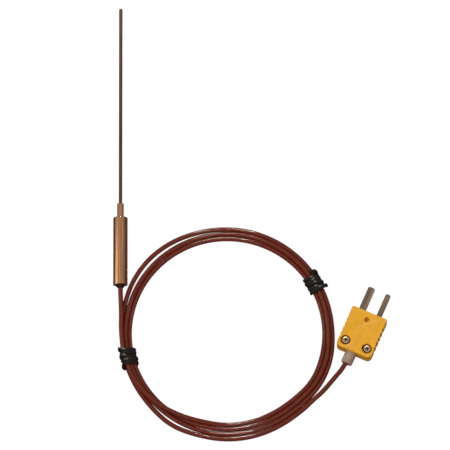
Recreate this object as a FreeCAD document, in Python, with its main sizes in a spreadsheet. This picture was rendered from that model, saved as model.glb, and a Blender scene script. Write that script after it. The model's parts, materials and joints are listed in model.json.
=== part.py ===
"""Mineral-insulated thermocouple: a sheathed probe with a potted transition, a coiled lead held by
two ties, and a miniature two-blade plug.  All sizes are in millimetres.

Frame: the origin is the centre of the transition pot's front face, +Y runs along the probe to its
tip and +Z is up.  Everything lies on a table one pot radius below the probe's axis.
"""

import FreeCAD
import Part

import math
import os
import re

import Sketcher
from FreeCAD import Vector

# Driving dimensions: alias, value, meaning.  "Along" is Y and "across" is X.
SIZES = [
    ("sheath_radius", 0.75, "outside of the metal sheath"),
    ("sheath_wall", 0.2, "wall of the sheath"),
    ("sheath_exposed", 88.7, "sheath from the collar's front to its tip"),
    ("sheath_crimp", 0.03, "how far the collar squeezes the sheath in"),
    ("crimp_slope", 0.8, "stretch in the collar's mouth over which it is squeezed in"),
    ("sheath_tail", 5.0, "sheath that reaches into the pot, behind its front wall"),
    ("tip_flat", 0.05, "flat left in the middle of the rounded tip"),
    ("tip_wall", 0.9, "thickness of the closed tip"),
    ("conductor_radius", 0.13, "bare probe conductor"),
    ("conductor_offset", 0.27, "probe conductor from the probe's axis"),
    ("bead_radius", 0.42, "welded measuring junction"),
    ("bead_setback", 0.6, "junction's centre behind the tip's inner face"),
    ("collar_radius", 1.45, "outside of the crimped collar"),
    ("collar_length", 6.4, "collar in front of the pot"),
    ("collar_edge", 0.25, "chamfer of the collar's front edge"),
    ("flange_play", 0.425, "pot's bore round the collar's flange"),
    ("flange_thickness", 1.0, "collar's flange along the axis"),
    ("pot_radius", 3.175, "outside of the transition pot"),
    ("pot_length", 30.5, "transition pot"),
    ("pot_wall", 0.45, "wall of the pot"),
    ("pot_front_wall", 1.2, "front wall of the pot"),
    ("pot_edge", 0.4, "round of the pot's front edge"),
    ("splice_radius", 0.7, "crimp that joins conductor and core"),
    ("splice_length", 5.0, "crimp along the axis"),
    ("splice_offset", 1.05, "crimp from the probe's axis"),
    ("splice_start", 12.0, "crimp's front end behind the pot's front face"),
    ("wire_straight", 1.2, "straight wire beside an end, before its bend"),
    ("joint_gap", 0.2, "each wire's end from the middle of its crimp"),
    ("strip_length", 0.6, "bare strand between a core's insulation and its crimp"),
    ("seal_depth", 4.0, "end seal inside the pot"),
    ("seal_cone_length", 1.4, "end seal's cone behind the pot"),
    ("seal_step", 0.275, "flat of the end seal between the pot's bore and the cone"),
    ("seal_lip", 0.15, "end seal's cone round the lead, where it ends"),
    ("lead_radius", 1.05, "outside of the lead's jacket"),
    ("lead_in_pot", 5.5, "lead that reaches into the pot"),
    ("core_radius", 0.42, "insulated core of the lead"),
    ("core_offset", 0.45, "core from the lead's axis"),
    ("strand_radius", 0.2, "bare end of a core"),
    ("coil_x", 46.5, "coil's centre across"),
    ("coil_y", -52.2, "coil's centre along"),
    ("coil_across", 47.6, "outer half width of the coil across"),
    ("coil_oval", 1.4, "how much longer that is along"),
    ("coil_hole", 41.3, "radius of the coil's open middle"),
    ("hole_shift_x", 0.4, "open middle from the coil's centre, across"),
    ("hole_shift_y", 1.1, "open middle from the coil's centre, along"),
    ("coil_headroom", 0.1, "coil's solid above two layers of lead"),
    ("tie_thickness", 0.45, "tie's wire with its coating"),
    ("tie_width", 9.0, "tie's winding along the bundle"),
    ("tie_proud", 0.15, "tie outside the bundle"),
    ("left_tie_angle", 195.0, "left tie round the coil, from +X"),
    ("right_tie_angle", 33.0, "right tie round the coil, from +X"),
    ("plug_x", 109.75, "middle of the plug's front face across"),
    ("plug_y", -44.0, "middle of the plug's front face along"),
    ("plug_turn", -23.5, "plug's turn about +Z"),
    ("plug_width", 16.5, "plug's body across"),
    ("plug_length", 19.3, "plug's body along"),
    ("plug_rear_round", 2.0, "rear corners of the plug"),
    ("plug_front_round", 0.8, "front corners of the plug"),
    ("plug_edge", 0.5, "top and bottom edges of the plug"),
    ("split_height", 4.4, "height of the parting face between base and cover"),
    ("plug_floor", 1.2, "floor of the base and roof of the cover"),
    ("side_wall", 1.65, "side wall of the plug beside a bay"),
    ("rear_wall", 1.3, "rear wall of the plug"),
    ("bay_front", 5.4, "front block of the plug, ahead of the terminal bays"),
    ("bay_play", 0.25, "bay ahead of a clamp washer"),
    ("blade_stop", 0.6, "bay behind a blade"),
    ("bay_inner", 0.7, "half the divider between the bays"),
    ("chamber_play", 0.05, "wire chamber beside the grommet's flange"),
    ("blade_spacing", 7.9, "between the middles of the blades"),
    ("blade_thickness", 0.8, "blade"),
    ("blade_reach", 11.4, "blade ahead of the plug"),
    ("blade_root", 10.4, "blade inside the plug"),
    ("blade_play", 0.05, "blade's slot on each side"),
    ("blade_round", 0.9, "corners of the blade's end"),
    ("wide_blade", 3.2, "negative blade's width"),
    ("narrow_blade", 2.4, "positive blade's width"),
    ("terminal_radius", 0.98, "terminal screw's shank"),
    ("terminal_head", 1.6, "terminal screw's head radius"),
    ("terminal_head_height", 1.1, "terminal screw's head"),
    ("terminal_depth", 1.4, "terminal screw below the blade"),
    ("head_play", 0.5, "cover's roof above a terminal screw's head"),
    ("clamp_radius", 1.85, "clamp washer"),
    ("clamp_thickness", 0.4, "clamp washer"),
    ("screw_from_side", 3.15, "cover screw's axis from the plug's side"),
    ("screw_from_rear", 3.6, "cover screw's axis from the plug's rear"),
    ("screw_radius", 0.98, "cover screw's shank"),
    ("screw_play", 0.15, "cover round the screw's shank"),
    ("screw_head", 1.85, "cover screw's head radius"),
    ("screw_head_height", 1.2, "cover screw's head"),
    ("recess_radius", 2.3, "round recess for the cover screw's head"),
    ("recess_depth", 1.8, "round recess"),
    ("screw_short", 0.4, "cover screw's end above the insert's bottom"),
    ("cross_width", 0.55, "cross recess of a screw"),
    ("cross_length", 2.1, "cross recess of a screw"),
    ("cross_depth", 0.6, "cross recess of a screw"),
    ("insert_radius", 1.6, "threaded insert"),
    ("insert_height", 2.9, "threaded insert below the parting face"),
    ("window_radius", 1.2, "round hole in the cover's front"),
    ("window_back", 3.7, "round hole behind the plug's front"),
    ("window_depth", 2.4, "round hole"),
    ("notch_count", 5, "grip notches on each side"),
    ("notch_pitch", 2.33, "between grip notches"),
    ("notch_back", 4.9, "first grip notch behind the plug's front"),
    ("notch_width", 1.0, "grip notch"),
    ("notch_depth", 0.4, "grip notch"),
    ("cable_height", 4.0, "cable's axis above the plug's underside"),
    ("cable_across", -0.8, "cable's axis beside the plug's middle"),
    ("grommet_radius", 2.55, "cable grommet outside the plug"),
    ("grommet_reach", 5.3, "cable grommet behind the plug"),
    ("grommet_edge", 0.5, "round of the grommet's rear edge"),
    ("grommet_neck", 1.9, "grommet's neck in the rear wall"),
    ("grommet_flange", 2.3, "grommet's flange in the chamber"),
    ("grommet_flange_length", 0.8, "grommet's flange in the chamber"),
    ("lead_in_plug", 0.5, "lead ahead of the grommet's flange"),
    ("clamped_length", 1.3, "strand's end ahead of the terminal screw's axis"),
    ("strand_play", 0.02, "strand beside the terminal screw's shank"),
]

# Share of the shorter run that a bend of a cord takes up.
BEND_SHARE = 0.45
# Smallest bend of the lead, in its own diameters.
LEAST_BEND = 5.0

# The lead between the pot and the coil: across, along and the height of its middle over the table.
PROBE_TAIL = [(0.75, -42.9, 3.15), (3.9, -49.0, 3.0)]
# The lead between the coil and the plug, in the same terms.
PLUG_TAIL = [(79.0, -85.3, 1.15), (84.2, -82.4, 1.2), (88.8, -78.5, 1.7), (93.3, -73.3, 2.9)]
# Straight lead beyond the pot's seal and beyond the grommet, before the first bend.
POT_EXIT = 2.0
GROMMET_EXIT = 0.6
# A covered core in the plug: aside from the middle, ahead of the bays' rear end, over its strand.
CORE_ROUTE = [(1.6, -1.6, 0.1), (2.25, 0.1, 0.25)]
# Where the bare strand comes level with the blade, ahead of the bays' rear end.
STRAND_DOWN = 1.8

doc = FreeCAD.newDocument("thermocouple")
sheet = doc.addObject("Spreadsheet::Sheet", "sizes")
for row, (alias, number, meaning) in enumerate(SIZES, start=1):
    sheet.set(f"A{row}", meaning)
    sheet.set(f"B{row}", str(number))
    sheet.setAlias(f"B{row}", alias)
doc.recompute()

nodes = {}


# ---- expressions -------------------------------------------------------------------------------


def formula(text):
    """Expression in which every name is a cell of the sheet."""
    return re.sub(r"\b([a-z]\w+)\b(?!\()", r"sizes.\1", text)


def size(text):
    """Number that an expression of sizes gives."""
    return float(sheet.evalExpression(formula(text)))


def bind(item, formulas):
    """Ties properties of a document object to expressions of sizes."""
    for name, text in formulas.items():
        item.setExpression(name, formula(text))


def keep(label, item):
    """Makes an object a sub-part of its own, written to the file of that name."""
    item.Label = label
    nodes[label] = item
    return item


# ---- sketches and features ---------------------------------------------------------------------


def new_body(label):
    """Empty PartDesign body."""
    return doc.addObject("PartDesign::Body", f"{label}_body")


def new_sketch(body, lift="0", aside="0"):
    """Sketch on a body's own XY plane, lifted by one expression and moved along X by another."""
    sketch = body.newObject("Sketcher::SketchObject", f"{body.Name}_sketch")
    plane = next(item for item in body.Origin.OriginFeatures if item.Role == "XY_Plane")
    sketch.AttachmentSupport = (plane, [""])
    sketch.MapMode = "FlatFace"
    bind(sketch, {"AttachmentOffset.Base.z": lift, "AttachmentOffset.Base.x": aside})
    return sketch


def pin_down(sketch, geometry, vertex, across, up):
    """Fixes a point of a sketch by its two distances from the sketch's origin."""
    for kind, text in (("DistanceX", across), ("DistanceY", up)):
        index = sketch.addConstraint(Sketcher.Constraint(kind, -1, 1, geometry, vertex, size(text)))
        bind(sketch, {f"Constraints[{index}]": text})


def draw_outline(sketch, corners):
    """Closed outline of straight sides through corners given as pairs of expressions."""
    points = [Vector(size(across), size(up), 0) for across, up in corners]
    first = sketch.GeometryCount
    for start, end in zip(points, points[1:] + points[:1]):
        sketch.addGeometry(Part.LineSegment(start, end))
    for index, (across, up) in enumerate(corners):
        following = (index + 1) % len(corners)
        sketch.addConstraint(Sketcher.Constraint("Coincident", first + index, 2, first + following, 1))
        pin_down(sketch, first + index, 1, across, up)


def draw_rectangle(sketch, left, right, near, far):
    """Rectangle between two expressions across and two up."""
    draw_outline(sketch, [(left, near), (right, near), (right, far), (left, far)])


def draw_circle(sketch, across, up, radius):
    """Circle with its centre and radius tied to expressions."""
    centre = Vector(size(across), size(up), 0)
    index = sketch.addGeometry(Part.Circle(centre, Vector(0, 0, 1), size(radius)))
    pin_down(sketch, index, 3, across, up)
    last = sketch.addConstraint(Sketcher.Constraint("Radius", index, size(radius)))
    bind(sketch, {f"Constraints[{last}]": radius})


def add_pad(body, sketch, height):
    """Extrudes a sketch along its normal."""
    feature = body.newObject("PartDesign::Pad", f"{body.Name}_pad")
    feature.Profile = sketch
    bind(feature, {"Length": height})
    doc.recompute()


def add_pocket(body, sketch, depth, upward=False):
    """Cuts a sketch into the body against its normal, or along it, and proves that it did cut."""
    before = body.Tip.Shape.Volume
    feature = body.newObject("PartDesign::Pocket", f"{body.Name}_pocket")
    feature.Profile = sketch
    feature.Reversed = upward
    bind(feature, {"Length": depth})
    doc.recompute()
    if feature.Shape.Volume >= before:
        raise ValueError(f"{feature.Name} cuts nothing")
    return feature


def add_revolution(body, sketch, kind="PartDesign::Revolution"):
    """Turns a sketch all the way round its own upright axis, as material or as a groove."""
    feature = body.newObject(kind, f"{body.Name}_turned")
    feature.Profile = sketch
    feature.ReferenceAxis = (sketch, ["V_Axis"])
    feature.Angle = 360
    doc.recompute()


def add_edge_feature(body, kind, edges, formulas):
    """Rounds or chamfers the edges of a body that a test picks out."""
    base = body.Tip
    names = [f"Edge{index}" for index, edge in enumerate(base.Shape.Edges, 1) if edges(edge)]
    if not names:
        raise ValueError(f"{body.Name} has no such edge for {kind}")
    feature = body.newObject(kind, f"{body.Name}_edges")
    feature.Base = (base, names)
    bind(feature, formulas)
    doc.recompute()


def is_near(number, text):
    """Whether a number is the value of an expression."""
    return abs(number - size(text)) < 1e-4


def is_circle(radius, along=None, height=None):
    """Test for a round edge of a radius, at a place along Y or at a height."""

    def test(edge):
        if not isinstance(edge.Curve, Part.Circle) or not is_near(edge.Curve.Radius, radius):
            return False
        centre = edge.Curve.Center
        return (along is None or is_near(centre.y, along)) and (height is None or is_near(centre.z, height))

    return test


def is_upright(along):
    """Test for a straight vertical edge at a place along Y."""

    def test(edge):
        first, last = edge.Vertexes[0].Point, edge.Vertexes[-1].Point
        upright = (first - last).Length - abs(first.z - last.z) < 1e-6
        return upright and is_near(first.y, along)

    return test


def is_rim(height):
    """Test for an edge that lies flat at a height."""
    return lambda edge: all(is_near(vertex.Z, height) for vertex in edge.Vertexes)


def turned_body(label, corners, lift="0", aside="0"):
    """Body turned from an outline of (radius, place along the axis) corners."""
    body = new_body(label)
    sketch = new_sketch(body, lift, aside)
    draw_outline(sketch, corners)
    add_revolution(body, sketch)
    return body


def cut_away(label, base, tools):
    """Boolean difference of one object and several others."""
    tool = tools[0]
    if len(tools) > 1:
        tool = doc.addObject("Part::MultiFuse", f"{label}_tools")
        tool.Shapes = tools
    piece = doc.addObject("Part::Cut", f"{label}_cut")
    piece.Base = base
    piece.Tool = tool
    return piece


def fused(label, items):
    """Boolean union of several objects."""
    piece = doc.addObject("Part::MultiFuse", f"{label}_whole")
    piece.Shapes = items
    return piece


def rod_along(label, radius, rear, front):
    """Plain cylinder on the probe's axis between two places along Y."""
    rod = doc.addObject("Part::Cylinder", label)
    bind(rod, {"Radius": radius, "Height": f"({front}) - ({rear})", "Placement.Base.y": rear})
    rod.Placement.Rotation = FreeCAD.Rotation(Vector(1, 0, 0), -90)
    return rod


# ---- tubes -------------------------------------------------------------------------------------


def rounded_path(points):
    """Wire of straight runs joined by tangent arcs, and the radii of those arcs."""
    edges = []
    radii = []
    start = points[0]
    for before, corner, after in zip(points, points[1:], points[2:]):
        back = before - corner
        ahead = after - corner
        half_turn = (math.pi - back.getAngle(ahead)) / 2
        reach = BEND_SHARE * min(back.Length, ahead.Length)
        radius = reach / math.tan(half_turn)
        back.normalize()
        ahead.normalize()
        inward = back + ahead
        inward.normalize()
        bend_start = corner + back * reach
        bend_end = corner + ahead * reach
        bend_middle = corner + inward * (radius / math.cos(half_turn) - radius)
        edges.append(Part.LineSegment(start, bend_start).toShape())
        edges.append(Part.Arc(bend_start, bend_middle, bend_end).toShape())
        radii.append(radius)
        start = bend_end
    edges.append(Part.LineSegment(start, points[-1]).toShape())
    return Part.Wire(edges), radii


def tube(label, points, radius):
    """Round tube swept along a path of straight runs and arcs."""
    wire, radii = rounded_path(points)
    path = doc.addObject("Part::Feature", f"{label}_path")
    path.Shape = wire
    ring = doc.addObject("Part::Circle", f"{label}_ring")
    bind(ring, {"Radius": radius})
    heading = points[1] - points[0]
    ring.Placement = FreeCAD.Placement(points[0], FreeCAD.Rotation(Vector(0, 0, 1), heading))
    sweep = doc.addObject("Part::Sweep", f"{label}_sweep")
    sweep.Sections = [ring]
    sweep.Spine = (path, [f"Edge{index}" for index in range(1, len(wire.Edges) + 1)])
    sweep.Solid = True
    doc.recompute()
    expected = math.pi * size(radius) ** 2 * wire.Length
    if abs(sweep.Shape.Volume / expected - 1) > 0.01:
        raise ValueError(f"{label} has lost its section along the path")
    return sweep, radii


# ---- places that several pieces share ----------------------------------------------------------

TIP = "(collar_length + sheath_exposed)"
CORE_END = f"({TIP} - tip_wall)"
POT_REAR = "(-pot_length)"
SHEATH_REAR = "(-pot_front_wall - sheath_tail)"
BORE = "(pot_radius - pot_wall)"
SEAL_FRONT = "(seal_depth - pot_length)"
LEAD_END = "(lead_in_pot - pot_length)"
FLANGE_REAR = "(-pot_front_wall - flange_thickness)"
JOINT = "(-splice_start - splice_length / 2)"
SPLICE_REAR = "(-splice_start - splice_length)"
CORE_FRONT = f"({SPLICE_REAR} - strip_length)"
CRIMPED = "(sheath_radius - sheath_crimp)"
CRIMP_START = "(collar_length - crimp_slope)"
TABLE = "(-pot_radius)"
BUNDLE_TOP = "(4 * lead_radius + coil_headroom)"
FLANGE_RADIUS = f"({BORE} - flange_play)"
BLADE_BOTTOM = "(split_height - blade_thickness)"
CLAMP_BOTTOM = "(split_height + 2 * strand_radius)"
CLAMP_TOP = f"({CLAMP_BOTTOM} + clamp_thickness)"
ROOF = f"({CLAMP_TOP} + terminal_head_height + head_play)"
PLUG_TOP = f"({ROOF} + plug_floor)"
SEAT = f"({PLUG_TOP} - recess_depth)"
BAY_REAR = "(-blade_root - blade_stop)"
BAY_OUTER = "(plug_width / 2 - side_wall)"
CHAMBER_HALF = "(grommet_flange - cable_across + chamber_play)"
TERMINAL_ALONG = "(-bay_front - bay_play - clamp_radius)"
SCREW_ACROSS = "(plug_width / 2 - screw_from_side)"
SCREW_ALONG = "(screw_from_rear - plug_length)"
CHAMBER_REAR = "(rear_wall - plug_length)"
PLUG_LEAD_END = f"({CHAMBER_REAR} + grommet_flange_length + lead_in_plug)"
SIGNS = {"positive": 1, "negative": -1}
BLADE_WIDTHS = {"positive": "narrow_blade", "negative": "wide_blade"}

plug_placement = {
    "Placement.Base.x": "plug_x",
    "Placement.Base.y": "plug_y",
    "Placement.Base.z": TABLE,
    "Placement.Rotation.Angle": "plug_turn",
}


def seat_on_plug(label, item):
    """Keeps a sub-part that was made in the plug's own frame, set down where the plug lies."""
    item.Placement.Rotation = FreeCAD.Rotation(Vector(0, 0, 1), size("plug_turn"))
    bind(item, plug_placement)
    return keep(label, item)


def pair(label, places, make):
    """Equal pieces in one sub-part, each made by a function of its place."""
    both = doc.addObject("Part::Compound", f"{label}_pair")
    both.Links = [make(place) for place in places]
    return seat_on_plug(label, both)


# ---- probe -------------------------------------------------------------------------------------


def make_sheath():
    """Metal sheath with a round closed tip, squeezed a little where the collar holds it."""
    body = turned_body(
        "probe_sheath",
        [
            ("0", TIP),
            ("sheath_radius", TIP),
            ("sheath_radius", "collar_length"),
            (CRIMPED, CRIMP_START),
            (CRIMPED, SHEATH_REAR),
            ("sheath_radius - sheath_wall", SHEATH_REAR),
            ("sheath_radius - sheath_wall", CORE_END),
            ("0", CORE_END),
        ],
    )
    tip = is_circle("sheath_radius", TIP)
    add_edge_feature(body, "PartDesign::Fillet", tip, {"Radius": "sheath_radius - tip_flat"})
    keep("probe_sheath", body)


def make_probe_core():
    """Junction bead, the two conductors and the mineral powder packed round them."""
    bead = doc.addObject("Part::Sphere", "bead")
    bind(bead, {"Radius": "bead_radius", "Placement.Base.y": f"{CORE_END} - bead_setback"})
    keep("hot_junction", bead)
    wires = {}
    for name, sign in SIGNS.items():
        near = sign * size("conductor_offset")
        far = sign * size("splice_offset")
        rear = size(SHEATH_REAR)
        joint = size(JOINT)
        route = [
            Vector(near, size(f"{CORE_END} - bead_setback"), 0),
            Vector(near, rear - size("wire_straight"), 0),
            Vector(far, -size("splice_start - wire_straight"), 0),
            Vector(far, joint + size("joint_gap"), 0),
        ]
        wires[name], _ = tube(f"conductor_{name}", route, "conductor_radius")
        keep(f"probe_conductor_{name}", cut_away(f"probe_conductor_{name}", wires[name], [bead]))
    filling = rod_along("filling", "sheath_radius - sheath_wall", SHEATH_REAR, CORE_END)
    keep("mineral_insulation", cut_away("mineral_insulation", filling, [*wires.values(), bead]))
    return wires


def make_collar():
    """Collar crimped on the sheath, with a flange that holds it behind the pot's front wall."""
    body = turned_body(
        "sheath_collar",
        [
            (CRIMPED, CRIMP_START),
            ("sheath_radius", "collar_length"),
            ("collar_radius", "collar_length"),
            ("collar_radius", "-pot_front_wall"),
            (FLANGE_RADIUS, "-pot_front_wall"),
            (FLANGE_RADIUS, FLANGE_REAR),
            (CRIMPED, FLANGE_REAR),
        ],
    )
    front = is_circle("collar_radius", "collar_length")
    add_edge_feature(body, "PartDesign::Chamfer", front, {"Size": "collar_edge"})
    keep("sheath_collar", body)


def make_pot():
    """Thin-walled pot, open at its rear, with a bored front wall."""
    body = turned_body(
        "pot_shell",
        [
            ("collar_radius", "0"),
            ("pot_radius", "0"),
            ("pot_radius", POT_REAR),
            (BORE, POT_REAR),
            (BORE, "-pot_front_wall"),
            ("collar_radius", "-pot_front_wall"),
        ],
    )
    add_edge_feature(body, "PartDesign::Fillet", is_circle("pot_radius", "0"), {"Radius": "pot_edge"})
    keep("pot_shell", body)


def make_splices(wires):
    """Cores of the lead, the crimps that join them to the conductors, and the potting round all."""
    cores = []
    crimps = []
    for name, sign in SIGNS.items():
        near = sign * size("core_offset")
        far = sign * size("splice_offset")
        front = size(CORE_FRONT)
        route = [
            Vector(near, size(LEAD_END), 0),
            Vector(near, size(f"{LEAD_END} + wire_straight"), 0),
            Vector(far, front - size("wire_straight"), 0),
            Vector(far, front, 0),
        ]
        covered, _ = tube(f"pot_core_{name}", route, "core_radius")
        bare = rod_along(f"pot_core_{name}_bare", "strand_radius", CORE_FRONT, f"{JOINT} - joint_gap")
        bind(bare, {"Placement.Base.x": f"{sign} * splice_offset"})
        core = keep(f"pot_core_{name}", fused(f"pot_core_{name}", [covered, bare]))
        barrel = rod_along(f"splice_{name}_barrel", "splice_radius", SPLICE_REAR, "-splice_start")
        bind(barrel, {"Placement.Base.x": f"{sign} * splice_offset"})
        keep(f"splice_crimp_{name}", cut_away(f"splice_crimp_{name}", barrel, [wires[name], bare]))
        cores.append(core)
        crimps.append(barrel)
    block = rod_along("potting_block", BORE, SEAL_FRONT, "-pot_front_wall")
    flange = rod_along("flange_space", FLANGE_RADIUS, FLANGE_REAR, "-pot_front_wall")
    tail = rod_along("sheath_space", CRIMPED, SHEATH_REAR, "-pot_front_wall")
    jacket = rod_along("jacket_space", "lead_radius", SEAL_FRONT, LEAD_END)
    spaces = [flange, tail, jacket, *wires.values(), *cores, *crimps]
    keep("potting_compound", cut_away("potting_compound", block, spaces))


def make_end_seal():
    """Black seal that closes the pot and rises in a cone round the lead."""
    cone_end = f"{POT_REAR} - seal_cone_length"
    body = turned_body(
        "end_seal",
        [
            ("lead_radius", SEAL_FRONT),
            (BORE, SEAL_FRONT),
            (BORE, POT_REAR),
            (f"{BORE} - seal_step", POT_REAR),
            ("lead_radius + seal_lip", cone_end),
            ("lead_radius", cone_end),
        ],
    )
    keep("end_seal", body)


# ---- lead --------------------------------------------------------------------------------------


def coil_ring(label, shrink, bottom, top):
    """Flat oval ring, made smaller all round, between two heights over the table."""
    oval = doc.addObject("Part::Ellipse", f"{label}_oval")
    bind(
        oval,
        {
            "MajorRadius": f"coil_across + coil_oval - ({shrink})",
            "MinorRadius": f"coil_across - ({shrink})",
            "Placement.Base.x": "coil_x",
            "Placement.Base.y": "coil_y",
            "Placement.Base.z": f"{TABLE} + {bottom}",
        },
    )
    oval.Placement.Rotation = FreeCAD.Rotation(Vector(0, 0, 1), 90)
    disc = doc.addObject("Part::Extrusion", f"{label}_disc")
    disc.Base = oval
    disc.DirMode = "Custom"
    disc.Dir = Vector(0, 0, 1)
    disc.Solid = True
    bind(disc, {"LengthFwd": f"{top} - ({bottom})"})
    hole = doc.addObject("Part::Cylinder", f"{label}_hole")
    bind(
        hole,
        {
            "Radius": f"coil_hole + ({shrink})",
            "Height": f"{top} - ({bottom})",
            "Placement.Base.x": "coil_x + hole_shift_x",
            "Placement.Base.y": "coil_y + hole_shift_y",
            "Placement.Base.z": f"{TABLE} + {bottom}",
        },
    )
    return cut_away(label, disc, [hole])


def tie_sector(label, angle):
    """Block across the bundle at an angle, as wide as a tie's winding."""
    block = doc.addObject("Part::Box", f"{label}_block")
    bind(
        block,
        {
            "Length": "coil_across + coil_oval + 2 * tie_proud",
            "Width": "tie_width",
            "Height": f"{BUNDLE_TOP} + tie_thickness",
            "Placement.Base.x": f"coil_x + tie_width / 2 * sin({angle})",
            "Placement.Base.y": f"coil_y - tie_width / 2 * cos({angle})",
            "Placement.Base.z": TABLE,
        },
    )
    block.Placement.Rotation = FreeCAD.Rotation(Vector(0, 0, 1), size(angle))
    bind(block, {"Placement.Rotation.Angle": angle})
    return block


def make_coil():
    """Bundle of the coiled lead as one ring, with a tie wound round it on each side."""
    ring = coil_ring("coil_ring", "0", "0", BUNDLE_TOP)
    core = coil_ring("coil_core", "tie_thickness", "tie_thickness", BUNDLE_TOP)
    sleeve = coil_ring("tie_sleeve", "-tie_proud", "0", f"({BUNDLE_TOP} + tie_thickness)")
    ties = []
    for side in ("left", "right"):
        label = f"twist_tie_{side}"
        around = doc.addObject("Part::Common", f"{label}_around")
        around.Base = sleeve
        around.Tool = tie_sector(label, f"{side}_tie_angle")
        ties.append(keep(label, cut_away(label, around, [core])))
    keep("lead_coil", cut_away("lead_coil", ring, ties))
    return ring


def on_plug(across, along, height):
    """Point of the plug's own frame, in the common frame."""
    placement = FreeCAD.Placement(
        Vector(size("plug_x"), size("plug_y"), size(TABLE)),
        FreeCAD.Rotation(Vector(0, 0, 1), size("plug_turn")),
    )
    return placement.multVec(Vector(across, along, height))


def make_tails(ring):
    """The two stretches of the lead that lie free, each from its seal or grommet to the coil."""
    lift = Vector(0, 0, size(TABLE))
    cone_end = size(f"{POT_REAR} - seal_cone_length")
    from_pot = [Vector(0, size(LEAD_END), 0), Vector(0, cone_end - POT_EXIT, 0)]
    from_pot += [Vector(*point) + lift for point in PROBE_TAIL]
    height = size("cable_height")
    aside = size("cable_across")
    from_plug = [
        on_plug(aside, size(PLUG_LEAD_END), height),
        on_plug(aside, -size("plug_length + grommet_reach") - GROMMET_EXIT, height),
    ]
    from_plug += [Vector(*point) + lift for point in reversed(PLUG_TAIL)]
    for label, points in (("lead_tail_probe", from_pot), ("lead_tail_plug", from_plug)):
        sweep, radii = tube(label, points, "lead_radius")
        print(label, "bend radii:", ", ".join(f"{radius:.1f}" for radius in radii))
        if min(radii) < LEAST_BEND * 2 * size("lead_radius"):
            raise ValueError(f"{label} bends too tightly")
        keep(label, cut_away(label, sweep, [ring]))


# ---- plug --------------------------------------------------------------------------------------


def plug_block(label, lift, height, rim):
    """Half of the plug's body with rounded corners and a rounded outer rim."""
    body = new_body(label)
    sketch = new_sketch(body, lift)
    draw_rectangle(sketch, "-plug_width / 2", "plug_width / 2", "-plug_length", "0")
    add_pad(body, sketch, height)
    for along, radius in (("-plug_length", "plug_rear_round"), ("0", "plug_front_round")):
        add_edge_feature(body, "PartDesign::Fillet", is_upright(along), {"Radius": radius})
    add_edge_feature(body, "PartDesign::Fillet", is_rim(rim), {"Radius": "plug_edge"})
    return body


def cut_bays(body, depth, upward):
    """Terminal bays on each side of the divider, and the wire chamber behind them."""
    for left, right in ((f"-{BAY_OUTER}", "-bay_inner"), ("bay_inner", BAY_OUTER)):
        sketch = new_sketch(body, "split_height")
        draw_rectangle(sketch, left, right, BAY_REAR, "-bay_front")
        add_pocket(body, sketch, depth, upward)


def cut_chamber(body, depth, upward):
    """Wire chamber between the screw bosses."""
    sketch = new_sketch(body, "split_height")
    draw_rectangle(sketch, f"-{CHAMBER_HALF}", CHAMBER_HALF, CHAMBER_REAR, BAY_REAR)
    add_pocket(body, sketch, depth, upward)


def cut_cable_entry(body):
    """Round entry for the grommet's neck through the rear wall."""
    sketch = new_sketch(body, "cable_height", "cable_across")
    draw_rectangle(sketch, "0", "grommet_neck", "-plug_length - 1", CHAMBER_REAR)
    add_revolution(body, sketch, "PartDesign::Groove")


def cut_grip(body, lift):
    """Row of grip notches down each side."""
    sketch = new_sketch(body, lift)
    near = "-notch_back - notch_width / 2"
    far = "-notch_back + notch_width / 2"
    draw_rectangle(sketch, "-plug_width / 2 - 1", "-plug_width / 2 + notch_depth", near, far)
    draw_rectangle(sketch, "plug_width / 2 - notch_depth", "plug_width / 2 + 1", near, far)
    notch = add_pocket(body, sketch, PLUG_TOP, True)
    pattern = body.newObject("PartDesign::LinearPattern", f"{body.Name}_grip")
    pattern.Originals = [notch]
    pattern.Direction = (sketch, ["V_Axis"])
    pattern.Reversed = True
    bind(pattern, {"Length": "(notch_count - 1) * notch_pitch", "Occurrences": "notch_count"})
    body.Tip = pattern
    doc.recompute()
    if pattern.Shape.Volume >= notch.Shape.Volume:
        raise ValueError("the grip notches do not repeat")


def cut_round(body, lift, places, radius, depth, upward=False):
    """Round blind holes of one size at several places."""
    for across, along in places:
        sketch = new_sketch(body, lift)
        draw_circle(sketch, across, along, radius)
        add_pocket(body, sketch, depth, upward)


SCREW_PLACES = [(f"{side}{SCREW_ACROSS}", SCREW_ALONG) for side in ("-", "")]
TERMINAL_PLACES = [(f"{side}blade_spacing / 2", TERMINAL_ALONG) for side in ("-", "")]


def make_plug_base():
    """Lower half of the plug, with slots and seats for the blades and bosses for the inserts."""
    body = plug_block("plug_base", "0", "split_height", "0")
    for name, sign in SIGNS.items():
        half = f"({BLADE_WIDTHS[name]} / 2 + blade_play)"
        sketch = new_sketch(body, "split_height")
        middle = f"{sign} * blade_spacing / 2"
        draw_rectangle(sketch, f"{middle} - {half}", f"{middle} + {half}", "-bay_front", "1")
        add_pocket(body, sketch, "blade_thickness")
    cut_bays(body, "blade_thickness", False)
    shank_space = "terminal_radius + screw_play"
    cut_round(body, BLADE_BOTTOM, TERMINAL_PLACES, shank_space, "terminal_depth + screw_play")
    cut_chamber(body, "split_height - plug_floor", False)
    cut_round(body, "split_height", SCREW_PLACES, "insert_radius", "insert_height")
    cut_cable_entry(body)
    cut_grip(body, "0")
    seat_on_plug("plug_base", body)


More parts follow.
